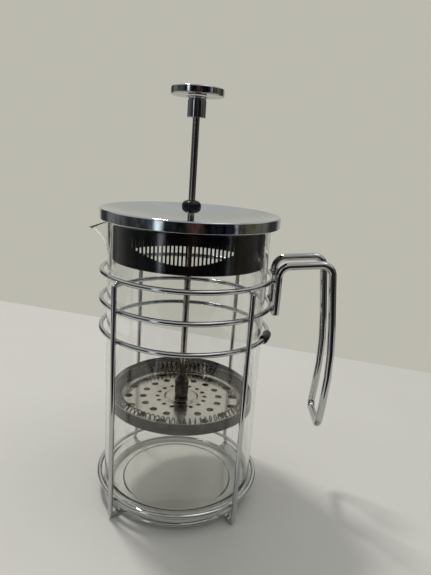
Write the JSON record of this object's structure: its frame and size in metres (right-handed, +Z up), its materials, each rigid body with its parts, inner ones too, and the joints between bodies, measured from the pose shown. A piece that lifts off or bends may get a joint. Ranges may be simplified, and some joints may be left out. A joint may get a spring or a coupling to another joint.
{
  "type": "french press",
  "caption": "Glass coffee press in a chromed wire frame with a two-rod handle, a dished lid and a plunger with a spring-edged mesh filter.",
  "frame": {"origin": "on the surface the feet stand on, under the middle of the bounding box; the press axis stands 16.59 mm to the -X side of it", "axes": "+Z up along the press axis, +X from the press axis towards the handle, the pouring spout on the -X side, -Y the side that the slotted part of the strainer sleeve faces"},
  "size_m": [0.1544, 0.1074, 0.2543],
  "materials": {
    "chrome": "polished",
    "lid_chrome": "polished, slightly soft on the dished top",
    "filter_steel": "satin stainless steel",
    "woven_steel": "fine woven wire",
    "glass": "clear",
    "black_plastic": "moulded, semi-gloss",
    "black_rubber": "smooth"
  },
  "bodies": {
    "frame": {"ring_top": "chrome", "ring_middle": "chrome", "ring_lower": "chrome", "ring_base": "chrome", "ring_support": "chrome", "upright_front_left": "chrome", "upright_front_right": "chrome", "upright_back_right": "chrome", "upright_back_left": "chrome", "handle": "chrome", "ring_sleeve": "black_rubber"},
    "beaker": {"glass_beaker": "glass"},
    "lid_guide": {"guide_bushing": "chrome", "guide_nut": "chrome", "rod_bead": "black_rubber"},
    "lid": {"lid_cap": "lid_chrome", "strainer_sleeve": "black_plastic"},
    "plunger": {"plunger_rod": "chrome", "knob_collar": "chrome", "knob_disc": "chrome", "filter_hub": "filter_steel"},
    "filter": {"filter_plate": "filter_steel", "filter_spring": "filter_steel", "filter_mesh": "woven_steel", "cross_plate": "filter_steel"}
  },
  "joints": [
    {"name": "beaker_lift", "type": "slide", "parent": "frame", "child": "beaker", "axis": [0, 0, 1], "range_m": [0, 0.16]},
    {"name": "lid_lift", "type": "slide", "parent": "beaker", "child": "lid_guide", "axis": [0, 0, 1], "range_m": [0, 0.13]},
    {"name": "lid_turn", "type": "hinge", "parent": "lid_guide", "child": "lid", "pos_m": [-0.01659, 0, 0.18], "axis": [0, 0, 1], "continuous": true},
    {"name": "plunger_press", "type": "slide", "parent": "lid_guide", "child": "plunger", "axis": [0, 0, 1], "range_m": [-0.046, 0.081]},
    {"name": "filter_unscrew", "type": "hinge", "parent": "plunger", "child": "filter", "pos_m": [-0.01659, 0, 0.0635], "axis": [0, 0, 1], "continuous": true}
  ]
}
